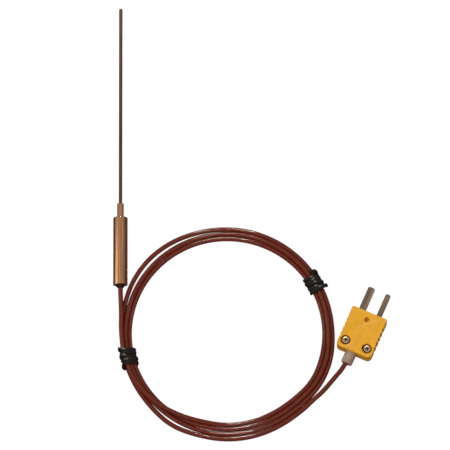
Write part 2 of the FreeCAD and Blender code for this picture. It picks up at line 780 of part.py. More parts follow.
def make_plug_cover():
    """Upper half of the plug, hollow over the terminals, with recesses for its two screws."""
    body = plug_block("plug_cover", "split_height", f"{PLUG_TOP} - split_height", PLUG_TOP)
    cut_bays(body, f"{ROOF} - split_height", True)
    cut_chamber(body, f"{ROOF} - split_height", True)
    cut_round(body, PLUG_TOP, SCREW_PLACES, "recess_radius", "recess_depth")
    cut_round(body, SEAT, SCREW_PLACES, "screw_radius + screw_play", PLUG_TOP)
    cut_round(body, PLUG_TOP, [("0", "-window_back")], "window_radius", "window_depth")
    cut_cable_entry(body)
    cut_grip(body, "split_height")
    seat_on_plug("plug_cover", body)


def make_blades():
    """Flat contact blades of two widths, each with a threaded hole for its terminal screw."""
    for name, sign in SIGNS.items():
        body = new_body(f"blade_{name}")
        sketch = new_sketch(body, BLADE_BOTTOM)
        half = f"{BLADE_WIDTHS[name]} / 2"
        middle = f"{sign} * blade_spacing / 2"
        draw_rectangle(sketch, f"{middle} - {half}", f"{middle} + {half}", "-blade_root", "blade_reach")
        draw_circle(sketch, middle, TERMINAL_ALONG, "terminal_radius")
        add_pad(body, sketch, "blade_thickness")
        add_edge_feature(body, "PartDesign::Fillet", is_upright("blade_reach"), {"Radius": "blade_round"})
        seat_on_plug(f"blade_{name}", body)


def make_ring(label, place, radii, bottom, height):
    """Flat ring on a vertical axis, between an outer radius and a bore."""
    body = new_body(label)
    sketch = new_sketch(body, bottom)
    for radius in radii:
        draw_circle(sketch, *place, radius)
    add_pad(body, sketch, height)
    return body


def make_screw(label, place, seat, head_size, shank_size):
    """Pan-head screw on a vertical axis, its head resting at a height.

    The head and the shank are pairs of a radius and a length, and the head has a cross recess.
    """
    across, along = place
    head, head_height = head_size
    shank, length = shank_size
    body = new_body(label)
    top = f"{seat} + {head_height}"
    for radius, lift, height in ((shank, f"{seat} - ({length})", length), (head, seat, head_height)):
        sketch = new_sketch(body, lift)
        draw_circle(sketch, across, along, radius)
        add_pad(body, sketch, height)
    rim = is_circle(head, height=top)
    add_edge_feature(body, "PartDesign::Fillet", rim, {"Radius": f"{head_height} / 3"})
    for half_x, half_y in (("cross_length", "cross_width"), ("cross_width", "cross_length")):
        sketch = new_sketch(body, top)
        draw_rectangle(
            sketch,
            f"{across} - {half_x} / 2",
            f"{across} + {half_x} / 2",
            f"{along} - {half_y} / 2",
            f"{along} + {half_y} / 2",
        )
        add_pocket(body, sketch, "cross_depth")
    return body


def make_fasteners():
    """Terminal screws with their clamp washers, cover screws and the inserts that they grip."""

    def terminal_screw(place):
        shank = ("terminal_radius", f"{CLAMP_TOP} - {BLADE_BOTTOM} + terminal_depth")
        head = ("terminal_head", "terminal_head_height")
        return make_screw("terminal_screw", place, CLAMP_TOP, head, shank)

    def cover_screw(place):
        shank = ("screw_radius", f"{SEAT} - split_height + insert_height - screw_short")
        head = ("screw_head", "screw_head_height")
        return make_screw("cover_screw", place, SEAT, head, shank)

    def clamp(place):
        radii = ("clamp_radius", "terminal_radius")
        return make_ring("clamp", place, radii, CLAMP_BOTTOM, "clamp_thickness")

    def insert(place):
        radii = ("insert_radius", "screw_radius")
        return make_ring("insert", place, radii, "split_height - insert_height", "insert_height")

    pair("terminal_screws", TERMINAL_PLACES, terminal_screw)
    pair("clamp_washers", TERMINAL_PLACES, clamp)
    pair("cover_screws", SCREW_PLACES, cover_screw)
    pair("threaded_inserts", SCREW_PLACES, insert)


def make_grommet():
    """Rubber sleeve round the cable, its neck held in the rear wall and its flange behind it."""
    rear = "-plug_length - grommet_reach"
    body = turned_body(
        "cable_grommet",
        [
            ("lead_radius", rear),
            ("grommet_radius", rear),
            ("grommet_radius", "-plug_length"),
            ("grommet_neck", "-plug_length"),
            ("grommet_neck", CHAMBER_REAR),
            ("grommet_flange", CHAMBER_REAR),
            ("grommet_flange", f"{CHAMBER_REAR} + grommet_flange_length"),
            ("lead_radius", f"{CHAMBER_REAR} + grommet_flange_length"),
        ],
        lift="cable_height",
        aside="cable_across",
    )
    rim = is_circle("grommet_radius", rear)
    add_edge_feature(body, "PartDesign::Fillet", rim, {"Radius": "grommet_edge"})
    seat_on_plug("cable_grommet", body)


def make_plug_cores():
    """Cores of the lead from its end in the plug to the clamps, each with a bare end."""
    end = size(PLUG_LEAD_END)
    exit_height = size("cable_height")
    strand_height = size("split_height + strand_radius")
    bay = size(BAY_REAR)
    beside_screw = size("blade_spacing / 2 - terminal_radius - strand_radius - strand_play")
    for name, sign in SIGNS.items():
        start = size("cable_across") + sign * size("core_offset")
        covered_route = [
            Vector(start, end, exit_height),
            Vector(start, end + size("wire_straight"), exit_height),
        ]
        covered_route += [
            Vector(sign * aside, bay + ahead, strand_height + over) for aside, ahead, over in CORE_ROUTE
        ]
        bare_route = [
            covered_route[-1],
            Vector(sign * beside_screw, bay + STRAND_DOWN, strand_height),
            Vector(sign * beside_screw, size(f"{TERMINAL_ALONG} + clamped_length"), strand_height),
        ]
        covered, _ = tube(f"plug_core_{name}", covered_route, "core_radius")
        bare, _ = tube(f"plug_core_{name}_bare", bare_route, "strand_radius")
        seat_on_plug(f"plug_core_{name}", fused(f"plug_core_{name}", [covered, bare]))


# ---- the whole part ----------------------------------------------------------------------------


def build():
    """Makes every sub-part."""
    make_sheath()
    wires = make_probe_core()
    make_collar()
    make_pot()
    make_splices(wires)
    make_end_seal()
    ring = make_coil()
    make_tails(ring)
    make_plug_base()
    make_plug_cover()
    make_blades()
    make_fasteners()
    make_grommet()
    make_plug_cores()
    doc.recompute()


def check():
    """Stops if any object of the document failed or any sub-part is not a sound solid."""
    for item in doc.Objects:
        if "Invalid" in item.State or "Error" in item.State:
            raise ValueError(f"{item.Name} failed: {item.State}")
    for label, item in nodes.items():
        shape = item.Shape
        if shape.isNull() or not shape.isValid() or not shape.Solids:
            raise ValueError(f"{label} is not a valid solid")


def write():
    """Writes each sub-part to a file of its own."""
    os.makedirs("parts", exist_ok=True)
    for label, item in sorted(nodes.items()):
        item.Shape.exportStep(f"parts/{label}.step")
        print(f"{label}: {len(item.Shape.Solids)} solid(s), {item.Shape.Volume:.2f} mm3")


build()
check()
write()
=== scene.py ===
"""Thermocouple: a slim probe on a transition pot, a metre of coiled lead and a two-blade plug.

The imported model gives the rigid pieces.  This script lays the lead, winds the two ties round it, turns
the cover screws anew, softens the plug's edges and gives each piece its finish.  Sizes are in millimetres
and angles in degrees, unless a line says otherwise, and everything reaches Blender in metres.
"""

import json
import logging
import math
from collections.abc import Callable, Iterable
from dataclasses import dataclass, field
from enum import Enum

import bmesh
import bpy
from mathutils import Matrix, Vector


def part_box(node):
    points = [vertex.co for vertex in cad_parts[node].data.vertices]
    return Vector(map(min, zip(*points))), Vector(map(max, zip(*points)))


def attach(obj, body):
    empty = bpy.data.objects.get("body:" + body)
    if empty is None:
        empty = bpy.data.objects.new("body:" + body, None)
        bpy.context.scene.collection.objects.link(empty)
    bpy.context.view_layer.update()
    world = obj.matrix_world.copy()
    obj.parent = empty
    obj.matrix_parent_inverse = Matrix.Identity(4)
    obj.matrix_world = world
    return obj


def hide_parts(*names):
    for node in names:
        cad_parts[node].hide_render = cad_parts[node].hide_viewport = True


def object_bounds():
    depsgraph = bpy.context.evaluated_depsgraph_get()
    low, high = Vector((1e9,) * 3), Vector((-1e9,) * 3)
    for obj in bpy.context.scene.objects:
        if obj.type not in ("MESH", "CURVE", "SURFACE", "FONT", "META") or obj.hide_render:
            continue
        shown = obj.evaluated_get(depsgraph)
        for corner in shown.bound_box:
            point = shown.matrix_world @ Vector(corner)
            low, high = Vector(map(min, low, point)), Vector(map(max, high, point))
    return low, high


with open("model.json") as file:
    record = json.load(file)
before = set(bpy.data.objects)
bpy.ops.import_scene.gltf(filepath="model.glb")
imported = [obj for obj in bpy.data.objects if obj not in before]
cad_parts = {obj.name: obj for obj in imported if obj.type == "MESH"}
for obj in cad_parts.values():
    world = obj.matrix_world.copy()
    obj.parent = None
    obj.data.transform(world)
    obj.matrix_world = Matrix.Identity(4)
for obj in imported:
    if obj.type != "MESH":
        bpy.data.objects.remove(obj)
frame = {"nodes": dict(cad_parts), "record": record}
CAD_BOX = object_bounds()

LOG = logging.getLogger("thermocouple")
MM = 0.001
TABLE = CAD_BOX[0].z / MM
ROOT = "root"

# The plug's angle about +Z, its body's length and the length of the lead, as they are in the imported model.
PLUG_TURN = -23.5
PLUG_LENGTH = 19.3
LEAD_LENGTH = 1000.0

Colour = tuple[float, float, float, float]
Place = tuple[float, float, float]


# ---- numbers and places ------------------------------------------------------------------------


def metres(x: float, y: float, z: float) -> Vector:
    """A point given in millimetres, in metres."""
    return Vector((x, y, z)) * MM


def paint(red: float, green: float, blue: float) -> Colour:
    """A display colour as the linear colour that a shader takes, by the usual display curve.

    Args:
        red, green, blue: the display colour's parts, of 0 to 255.

    Returns:
        The linear colour, opaque.
    """
    straight_end, slope, offset, power = 0.04045, 12.92, 0.055, 2.4
    linear = []
    for part in (red, green, blue):
        share = part / 255
        curved = ((share + offset) / (1 + offset)) ** power
        linear.append(share / slope if share <= straight_end else curved)
    return (*linear, 1.0)


def smooth_step(low: float, high: float, value: float) -> float:
    """A smooth rise from 0 to 1.

    Args:
        low, high: where the rise starts and ends.
        value: the place on it.

    Returns:
        The share of the rise.
    """
    share = min(1.0, max(0.0, (value - low) / (high - low)))
    return share * share * (3 - 2 * share)


def bump_round(middle: float, half: float, angle: float) -> float:
    """A smooth hump of height 1 on a circle.

    Args:
        middle: the hump's angle.
        half: how far it reaches on each side.
        angle: the place on the circle.

    Returns:
        The hump's height there.
    """
    off = abs((angle - middle + 180) % 360 - 180)
    return math.cos(math.radians(90 * min(1.0, off / half))) ** 2


def plug_frame() -> Matrix:
    """The plug's own frame.

    Returns:
        The frame in metres, with its origin under the middle of the front face and +Y ahead.
    """
    low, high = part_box("plug_base")
    centre = (low + high) / 2
    turn = Matrix.Rotation(math.radians(PLUG_TURN), 4, "Z")
    ahead = turn @ Vector((0, PLUG_LENGTH / 2 * MM, 0))
    return Matrix.Translation((centre.x + ahead.x, centre.y + ahead.y, TABLE * MM)) @ turn


# ---- shaders -----------------------------------------------------------------------------------


class Signal:
    """An output socket that takes part in Python arithmetic, which adds Math nodes."""

    def __init__(self, shader: "Shader", socket: bpy.types.NodeSocket) -> None:
        """Wraps a socket of a shader's tree."""
        self.shader = shader
        self.socket = socket

    def _math(self, operation: str, first: "Signal | float", second: "Signal | float") -> "Signal":
        """One Math node on two values."""
        return self.shader.node("ShaderNodeMath", {"operation": operation}, {0: first, 1: second})

    def __add__(self, other: "Signal | float") -> "Signal":
        """Sum."""
        return self._math("ADD", self, other)

    def __sub__(self, other: "Signal | float") -> "Signal":
        """Difference."""
        return self._math("SUBTRACT", self, other)

    def __rsub__(self, other: float) -> "Signal":
        """Difference from a number."""
        return self._math("SUBTRACT", other, self)

    def __mul__(self, other: "Signal | float") -> "Signal":
        """Product."""
        return self._math("MULTIPLY", self, other)

    __radd__ = __add__
    __rmul__ = __mul__


class Shader:
    """Node tree of one material or of the world, built a node at a time."""

    def __init__(self, owner: bpy.types.Material | bpy.types.World) -> None:
        """Empties a tree.

        Args:
            owner: the material or world whose tree it is.
        """
        self.owner = owner
        self.owner.use_nodes = True
        self.tree = self.owner.node_tree
        self.tree.nodes.clear()

    def node(
        self,
        kind: str,
        settings: dict | None = None,
        inputs: dict | None = None,
        output: int | str = 0,
    ) -> Signal:
        """Adds a node.

        Args:
            kind: the node's type.
            settings: the node's own properties, and a ramp's stops as (place, colour) pairs.
            inputs: a value or a signal for each input, by name or number.
            output: the output that is wanted.

        Returns:
            The output as a signal.
        """
        made = self.tree.nodes.new(kind)
        for name, value in (settings or {}).items():
            if name == "stops":
                self._set_stops(made.color_ramp, value)
            else:
                setattr(made, name, value)
        for key, value in (inputs or {}).items():
            if isinstance(value, Signal):
                self.tree.links.new(value.socket, made.inputs[key])
            else:
                made.inputs[key].default_value = value
        return Signal(self, made.outputs[output])

    @staticmethod
    def _set_stops(ramp: bpy.types.ColorRamp, stops: Iterable[tuple[float, Colour]]) -> None:
        """Gives a new ramp its stops.

        Args:
            ramp: the ramp, with its first two stops.
            stops: the (place, colour) pairs, in rising order.
        """
        stops = list(stops)
        while len(ramp.elements) < len(stops):
            ramp.elements.new(0.5)
        for element, (place, colour) in zip(ramp.elements, stops):
            element.position = place
            element.color = colour

    def close(self, shaded: Signal, kind: str) -> None:
        """Leads the tree's last node to a new output node of a type."""
        output = self.tree.nodes.new(kind)
        self.tree.links.new(shaded.socket, output.inputs["Surface"])

    def point(self, stretch: Place = (1, 1, 1), turn: float = 0.0) -> Signal:
        """The place on the object, as a pattern takes it.

        Args:
            stretch: what it is multiplied by along each axis, after its turn.
            turn: the pattern's angle about +Z.

        Returns:
            The place.
        """
        place = self.node("ShaderNodeTexCoord", output="Object")
        turned = self.node(
            "ShaderNodeVectorRotate",
            {"rotation_type": "Z_AXIS"},
            {"Vector": place, "Angle": math.radians(-turn)},
        )
        return self.node("ShaderNodeVectorMath", {"operation": "MULTIPLY"}, {0: turned, 1: stretch})

    def part(self, vector: Signal, axis: int) -> Signal:
        """One part of a vector, by its number."""
        return self.node("ShaderNodeSeparateXYZ", None, {"Vector": vector}, output=axis)

    def noise(self, where: Signal, scale: float, detail: float = 3.0, rough: float = 0.5) -> Signal:
        """Soft noise round 0.5, with scale features to the metre."""
        inputs = {"Vector": where, "Scale": scale, "Detail": detail, "Roughness": rough}
        return self.node("ShaderNodeTexNoise", None, inputs)

    def spread(self, value: Signal, low: float, high: float) -> Signal:
        """A smooth rise from 0 to 1.

        Args:
            value: the place on it.
            low, high: where the rise starts and ends.

        Returns:
            The share of the rise.
        """
        settings = {"interpolation_type": "SMOOTHSTEP"}
        inputs = {"Value": value, "From Min": low, "From Max": high}
        return self.node("ShaderNodeMapRange", settings, inputs)

    def blend(self, share: Signal | float, first: Signal | Colour, second: Signal | Colour) -> Signal:
        """A colour between two colours.

        Args:
            share: how much of the second is in it.
            first, second: the two colours.

        Returns:
            The colour.
        """
        return self.node(
            "ShaderNodeMix", {"data_type": "RGBA"}, {0: share, 6: first, 7: second}, output=2
        )

    def bump(self, height: Signal, depth: float, normal: Signal | None = None) -> Signal:
        """A normal tilted by a relief.

        Args:
            height: the relief, of 0 to 1.
            depth: its depth.
            normal: the normal that it tilts, or None for the surface's own.

        Returns:
            The tilted normal.
        """
        inputs = {"Height": height, "Distance": depth * MM, "Strength": 1.0}
        if normal is not None:
            inputs["Normal"] = normal
        return self.node("ShaderNodeBump", None, inputs)

    def surface(
        self,
        base: Signal | Colour,
        roughness: Signal | float,
        normal: Signal | None = None,
        **constants: float | Colour,
    ) -> bpy.types.Material:
        """Closes a material's tree with the surface itself.

        Args:
            base: colour of the surface.
            roughness: its roughness.
            normal: its normal, where it has a fine relief.
            constants: any other input of the surface, with _ for each space.

        Returns:
            The finished material.
        """
        inputs = {"Base Color": base, "Roughness": roughness}
        if normal is not None:
            inputs["Normal"] = normal
        for name, value in constants.items():
            inputs[name.replace("_", " ")] = value
        self.close(self.node("ShaderNodeBsdfPrincipled", None, inputs), "ShaderNodeOutputMaterial")
        return self.owner


# ---- finishes ----------------------------------------------------------------------------------


@dataclass(frozen=True)
class DrawnMetal:
    """Metal with fine lines along it, as drawn tube or ground strip has, and a thin tarnish.

    Scales are features to the metre, widths are shares of a feature's length, limits are where a
    pattern starts and ends to show, and turn is the lines' angle from +Y.
    """

    light: Colour
    dark: Colour
    tarnish: Colour
    roughness: float = 0.28
    line_scale: float = 6000.0
    line_depth: float = 0.0012
    turn: float = 0.0
    stain_share: float = 0.5
    line_width: float = 0.012
    lines_to_band: float = 7.0
    band_share: float = 0.55
    line_limits: tuple[float, float] = (0.36, 0.66)
    stain_scale: float = 240.0
    stain_width: float = 0.2
    stain_limits: tuple[float, float] = (0.46, 0.74)
    line_dulls: float = 0.08
    stain_dulls: float = 0.12

    def material(self, name: str) -> bpy.types.Material:
        """Builds the finish.

        Args:
            name: the material's name.

        Returns:
            The material.
        """
        shader = Shader(bpy.data.materials.new(name))
        along = shader.point(stretch=(1, self.line_width, 1), turn=self.turn)
        lines = shader.noise(along, self.line_scale, detail=2)
        bands = shader.noise(along, self.line_scale / self.lines_to_band, detail=2)
        stained = shader.point(stretch=(1, self.stain_width, 1), turn=self.turn)
        patches = shader.noise(stained, self.stain_scale)
        mixed = lines * (1 - self.band_share) + bands * self.band_share
        drawn = shader.blend(shader.spread(mixed, *self.line_limits), self.dark, self.light)
        stain = shader.spread(patches, *self.stain_limits) * self.stain_share
        base = shader.blend(stain, drawn, self.tarnish)
        roughness = self.roughness + (lines - 0.5) * self.line_dulls + stain * self.stain_dulls
        normal = shader.bump(lines, self.line_depth)
        return shader.surface(base, roughness, normal, Metallic=1.0)


@dataclass(frozen=True)
class MouldedPlastic:
    """Glass-filled moulding: even colour, a spark-eroded skin, faint flow marks, dust specks and painted
    shade in hollows.

    The mould's insert leaves a faint line on the cover's top: outline gives the middle across and
    along, the half width and the half length of its rectangle, in millimetres.
    """

    body: Colour
    shade: Colour
    # The dust colour also gives the painted shade in hollows.
    dust_and_shade: Colour
    roughness: float = 0.42
    skin_scale: float = 7500.0
    skin_depth: float = 0.014
    skin_dulls: float = 0.2
    flow_scale: float = 170.0
    flow_width: float = 0.4
    flow_limits: tuple[float, float] = (0.38, 0.68)
    flow_dulls: float = 0.06
    speck_scale: float = 2600.0
    speck_limits: tuple[float, float] = (0.66, 0.74)
    # Where hollows start and stop getting painted shade, and how much of it.
    hollow_limits: tuple[float, float] = (0.42, 0.5)
    painted_hollow_shade: float = 0.5
    speck_share: float = 0.12
    line_share: float = 0.2
    line_depth: float = 0.04
    line_limits: tuple[float, float] = (0.05, 0.22)
    line_below: float = 0.3
    outline: tuple[float, float, float, float] = (0.6, -4.3, 5.4, 2.3)

    def material(self, name: str) -> bpy.types.Material:
        """Builds the finish.

        Args:
            name: the material's name.

        Returns:
            The material.
        """
        shader = Shader(bpy.data.materials.new(name))
        skin = shader.noise(shader.point(), self.skin_scale, rough=0.6)
        flow = shader.noise(shader.point(stretch=(1, self.flow_width, 1), turn=PLUG_TURN), self.flow_scale)
        specks = shader.spread(shader.noise(shader.point(), self.speck_scale, detail=2), *self.speck_limits)
        tinted = shader.blend(shader.spread(flow, *self.flow_limits), self.body, self.shade)
        # Painted shade: hollows, found by pointiness, are darkened towards the dust colour; specks add real
        # dust and the moulded line is darkened too.
        pointiness = shader.node("ShaderNodeNewGeometry", output="Pointiness")
        hollow = 1 - shader.spread(pointiness, *self.hollow_limits)
        line = self._moulded_line(shader)
        dust_and_shade_mix = hollow * self.painted_hollow_shade + specks * self.speck_share + line * self.line_share
        base = shader.blend(dust_and_shade_mix, tinted, self.dust_and_shade)
        roughness = self.roughness + (skin - 0.5) * self.skin_dulls + flow * self.flow_dulls
        normal = shader.bump(1 - line, self.line_depth, shader.bump(skin, self.skin_depth))
        return shader.surface(base, roughness, normal, Specular_IOR_Level=0.3)

    def _moulded_line(self, shader: Shader) -> Signal:
        """Mask of the faint line that the mould's insert leaves round the window.

        Args:
            shader: the tree that it is built in.

        Returns:
            1 on the line, 0 off it.
        """
        across, along, half_across, half_along = self.outline
        middle = plug_frame() @ metres(across, along, 0)
        place = shader.node("ShaderNodeTexCoord", output="Object")
        local = shader.node(
            "ShaderNodeMapping",
            {"vector_type": "TEXTURE"},
            {"Vector": place, "Location": middle, "Rotation": (0, 0, math.radians(PLUG_TURN))},
        )
        off = []
        for axis, half in ((0, half_across), (1, half_along)):
            part = shader.part(local, axis)
            off.append(shader.node("ShaderNodeMath", {"operation": "ABSOLUTE"}, {0: part}) - half * MM)
        edge = shader.node("ShaderNodeMath", {"operation": "MAXIMUM"}, {0: off[0], 1: off[1]})
        near = shader.node("ShaderNodeMath", {"operation": "ABSOLUTE"}, {0: edge})
        height = shader.part(local, 2)
        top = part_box("plug_cover")[1].z - middle.z
        start, end = self.line_limits
        on_top = shader.spread(height, top - self.line_below * MM, top)
        return (1 - shader.spread(near, start * MM, end * MM)) * on_top


@dataclass(frozen=True)
class CordJacket:
    """Glossy, faintly clear polymer over two twisted cores, which show as slow dark and light bands.

    Length is the cord's and twist is that of one turn of its cores.
    """

    deep: Colour
    lit: Colour
    length: float
    twist: float = 26.0
    cores: int = 2
    core_relief: float = 0.012
    core_share: float = 0.5
    cloud_share: float = 0.7
    cloud_scale: float = 420.0
    haze_scale: float = 2600.0
    limits: tuple[float, float] = (0.3, 0.95)
    roughness: float = 0.05
    haze_dulls: float = 0.05

    def material(self, name: str) -> bpy.types.Material:
        """Builds the finish on the cord's own map, which goes once round it and once along it.

        Args:
            name: the material's name.

        Returns:
            The material.
        """
        shader = Shader(bpy.data.materials.new(name))
        cord_map = shader.node("ShaderNodeTexCoord", output="UV")
        around = shader.part(cord_map, 0)
        along = shader.part(cord_map, 1)
        angle = around * (math.tau * self.cores) + along * (math.tau * self.length / self.twist)
        core = shader.node("ShaderNodeMath", {"operation": "SINE"}, {0: angle}) * 0.5 + 0.5
        cloud = shader.noise(shader.point(), self.cloud_scale, detail=4, rough=0.6)
        haze = shader.noise(shader.point(), self.haze_scale)
        share = shader.spread(core * self.core_share + cloud * self.cloud_share, *self.limits)
        base = shader.blend(share, self.deep, self.lit)
        roughness = self.roughness + haze * self.haze_dulls
        normal = shader.bump(core, self.core_relief)
        return shader.surface(base, roughness, normal, Specular_IOR_Level=0.32)


@dataclass(frozen=True)
class SoftSkin:
    """Matt or half-gloss soft material, such as rubber, sealing compound or a dipped coating.

    Grain is in features to the metre, depth is its relief, gloss is the specular level, and uneven is
    how much the roughness wanders.
    """

    body: Colour
    shade: Colour
    roughness: float
    grain: float
    depth: float
    gloss: float = 0.5
    uneven: float = 0.12
    grains_to_cloud: float = 9.0
    cloud_share: float = 0.6
    limits: tuple[float, float] = (0.38, 0.64)

    def material(self, name: str) -> bpy.types.Material:
        """Builds the finish.

        Args:
            name: the material's name.

        Returns:
            The material.
        """
        shader = Shader(bpy.data.materials.new(name))
        grain = shader.noise(shader.point(), self.grain, detail=4, rough=0.6)
        cloud = shader.noise(shader.point(), self.grain / self.grains_to_cloud)
        mixed = cloud * self.cloud_share + grain * (1 - self.cloud_share)
        base = shader.blend(shader.spread(mixed, *self.limits), self.body, self.shade)
        roughness = self.roughness + (grain - 0.5) * self.uneven * 2 + (cloud - 0.5) * self.uneven
        normal = shader.bump(grain, self.depth)
        return shader.surface(base, roughness, normal, Specular_IOR_Level=self.gloss)


@dataclass(frozen=True)
class CleanMetal:
    """Plated, cast or bare wire metal: even, with fine scratches every way, and rougher hollows with painted
    shade.

    Where sunk is given, the metal is in shadow below that height: fully so at the first of the
    distances in sunk_limits, and not yet at the second.
    """

    light: Colour
    dark: Colour
    roughness: float = 0.24
    sunk: float | None = None
    shadow: Colour = paint(38, 28, 20)
    sunk_limits: tuple[float, float] = (0.6, 0.12)
    sunk_share: float = 0.9
    scratch_scale: float = 9000.0
    scratch_width: float = 0.15
    scratch_turn: float = 31.0
    scratch_depth: float = 0.003
    scratch_dulls: float = 0.18
    cloud_scale: float = 900.0
    cloud_share: float = 0.7
    limits: tuple[float, float] = (0.4, 0.66)
    hollow_limits: tuple[float, float] = (0.40, 0.50)
    painted_hollow_shade: float = 0.4
    hollow_dulls: float = 0.2

    def material(self, name: str) -> bpy.types.Material:
        """Builds the finish.

        Args:
            name: the material's name.

        Returns:
            The material.
        """
        shader = Shader(bpy.data.materials.new(name))
        scratched = shader.point(stretch=(1, self.scratch_width, 1), turn=self.scratch_turn)
        scratches = shader.noise(scratched, self.scratch_scale, detail=4, rough=0.7)
        cloud = shader.noise(shader.point(), self.cloud_scale)
        # Hollows, found by pointiness, are made rougher and are darkened towards the dark colour as painted
        # shade.
        pointiness = shader.node("ShaderNodeNewGeometry", output="Pointiness")
        hollow = 1 - shader.spread(pointiness, *self.hollow_limits)
        mixed = cloud * self.cloud_share + scratches * (1 - self.cloud_share)
        share = shader.spread(mixed, *self.limits) * (1 - self.painted_hollow_shade) + hollow * self.painted_hollow_shade
        base = shader.blend(share, self.light, self.dark)
        if self.sunk is not None:
            full, start = ((self.sunk - below) * MM for below in self.sunk_limits)
            deep = 1 - shader.spread(shader.part(shader.point(), 2), full, start)
            base = shader.blend(deep * self.sunk_share, base, self.shadow)
        roughness = self.roughness + (scratches - 0.5) * self.scratch_dulls + hollow * self.hollow_dulls
        return shader.surface(base, roughness, shader.bump(scratches, self.scratch_depth), Metallic=1.0)


# Each material slot of the record, and its finish.
FINISHES = {
    "sheath_metal": DrawnMetal(
        paint(126, 92, 66), paint(86, 57, 38), paint(62, 38, 24), roughness=0.26
    ),
    "pot_metal": DrawnMetal(
        paint(218, 168, 126), paint(152, 112, 82), paint(134, 98, 73), roughness=0.1, line_scale=4200.0
    ),
    "insulation_powder": SoftSkin(
        paint(236, 234, 226), paint(214, 211, 202), roughness=0.9, grain=9000, depth=0.02, gloss=0.2
    ),
    "thermo_alloy": CleanMetal(paint(200, 190, 178), paint(150, 140, 128)),
    "potting": SoftSkin(paint(58, 55, 53), paint(40, 38, 37), roughness=0.55, grain=2500, depth=0.02),
    "black_seal": SoftSkin(
        paint(54, 29, 18), paint(26, 12, 6), roughness=0.34, grain=1600, depth=0.03, gloss=0.2
    ),
    "lead_jacket": CordJacket(paint(86, 27, 14), paint(124, 48, 28), LEAD_LENGTH),
    "core_yellow": SoftSkin(
        paint(232, 196, 60), paint(214, 174, 44), roughness=0.35, grain=3000, depth=0.005
    ),
    "core_red": SoftSkin(paint(190, 40, 34), paint(160, 28, 24), roughness=0.35, grain=3000, depth=0.005),
    "tie_coating": SoftSkin(
        paint(24, 18, 13), paint(9, 6, 4), roughness=0.42, grain=2600, depth=0.05, gloss=0.25, uneven=0.2
    ),
    "plug_plastic": MouldedPlastic(paint(242, 182, 34), paint(234, 170, 32), paint(176, 116, 34)),
    "blade_alloy": DrawnMetal(
        paint(132, 115, 99),
        paint(86, 73, 61),
        paint(70, 57, 46),
        roughness=0.42,
        line_scale=5200.0,
        turn=PLUG_TURN,
    ),
    "screw_steel": CleanMetal(paint(186, 170, 150), paint(84, 70, 58), roughness=0.3),
    "insert_brass": CleanMetal(paint(214, 176, 96), paint(160, 122, 58)),
    "grommet_rubber": SoftSkin(
        paint(172, 150, 137), paint(152, 132, 121), roughness=0.62, grain=2400, depth=0.03, gloss=0.35
    ),
}


class Palette:
    """The finished materials, one for each material slot of the record."""

    def __init__(self) -> None:
        """Builds every finish once."""
        self.made = {slot: finish.material(slot) for slot, finish in FINISHES.items()}

    def dress(self, piece: bpy.types.Object, slot: str) -> None:
        """Gives a piece one finish all over."""
        piece.data.materials.clear()
        piece.data.materials.append(self.made[slot])

    def dress_frame(self) -> None:
        """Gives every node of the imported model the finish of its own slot."""
        for part in frame["record"]["subparts"]:
            self.dress(frame["nodes"][part["node"]], part["material_slot"])


# ---- making pieces -----------------------------------------------------------------------------


def new_piece(
    name: str, data: bpy.types.ID, slot: str, palette: Palette, replaced: Iterable[str]
) -> bpy.types.Object:
    """Makes a shown piece of mesh or curve data and fits it into the frame.

    Args:
        name: the piece's name.
        data: its mesh or curve, with its place already in it.
        slot: the record's material slot that it takes its finish from.
        palette: the finished materials.
        replaced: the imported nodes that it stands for.

    Returns:
        The piece.
    """
    piece = bpy.data.objects.new(name, data)
    bpy.context.scene.collection.objects.link(piece)
    palette.dress(piece, slot)
    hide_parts(*replaced)
    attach(piece, ROOT)
    return piece


def mesh_of(name: str, shape: bmesh.types.BMesh, smooth: float = 35.0) -> bpy.types.Mesh:
    """Turns a finished shape into mesh data and lets go of the shape.

    Args:
        name: the mesh's name.
        shape: the shape.
        smooth: the angle above which an edge looks sharp.

    Returns:
        The mesh.
    """
    bmesh.ops.recalc_face_normals(shape, faces=shape.faces)
    for face in shape.faces:
        face.smooth = True
    for edge in shape.edges:
        edge.smooth = len(edge.link_faces) == 2 and edge.calc_face_angle(0) < math.radians(smooth)
    data = bpy.data.meshes.new(name)
    shape.to_mesh(data)
    shape.free()
    return data


def turned(profile: list[tuple[float, float]], steps: int) -> bmesh.types.BMesh:
    """A solid of revolution about +Z.

    Args:
        profile: (radius, height) points in millimetres, from the axis back to the axis.
        steps: faces round it.

    Returns:
        The solid, in metres.
    """
    shape = bmesh.new()
    points = [shape.verts.new((radius * MM, 0, height * MM)) for radius, height in profile]
    edges = [shape.edges.new(pair) for pair in zip(points, points[1:])]
    bmesh.ops.spin(
        shape,
        geom=points + edges,
        cent=(0, 0, 0),
        axis=(0, 0, 1),
        angle=math.tau,
        steps=steps,
        use_merge=True,
    )
    bmesh.ops.remove_doubles(shape, verts=shape.verts, dist=1e-4 * MM)
    bmesh.ops.recalc_face_normals(shape, faces=shape.faces)
    return shape


def cut(blank: bmesh.types.BMesh, tool: bmesh.types.BMesh) -> bpy.types.Mesh:
    """Takes one solid out of another.

    Args:
        blank: the solid that stays.
        tool: the solid that is taken away.

    Returns:
        The cut solid's mesh.
    """
    made = []
    for shape in (blank, tool):
        data = bpy.data.meshes.new("cut")
        bmesh.ops.recalc_face_normals(shape, faces=shape.faces)
        shape.to_mesh(data)
        shape.free()
        made.append(bpy.data.objects.new("cut", data))
        bpy.context.scene.collection.objects.link(made[-1])
    modifier = made[0].modifiers.new("cut", "BOOLEAN")
    modifier.operation = "DIFFERENCE"
    modifier.use_self = True
    modifier.object = made[1]
    graph = bpy.context.evaluated_depsgraph_get()
    result = bpy.data.meshes.new_from_object(made[0].evaluated_get(graph))
    for item in made:
        data = item.data
        bpy.data.objects.remove(item)
        bpy.data.meshes.remove(data)
    return result


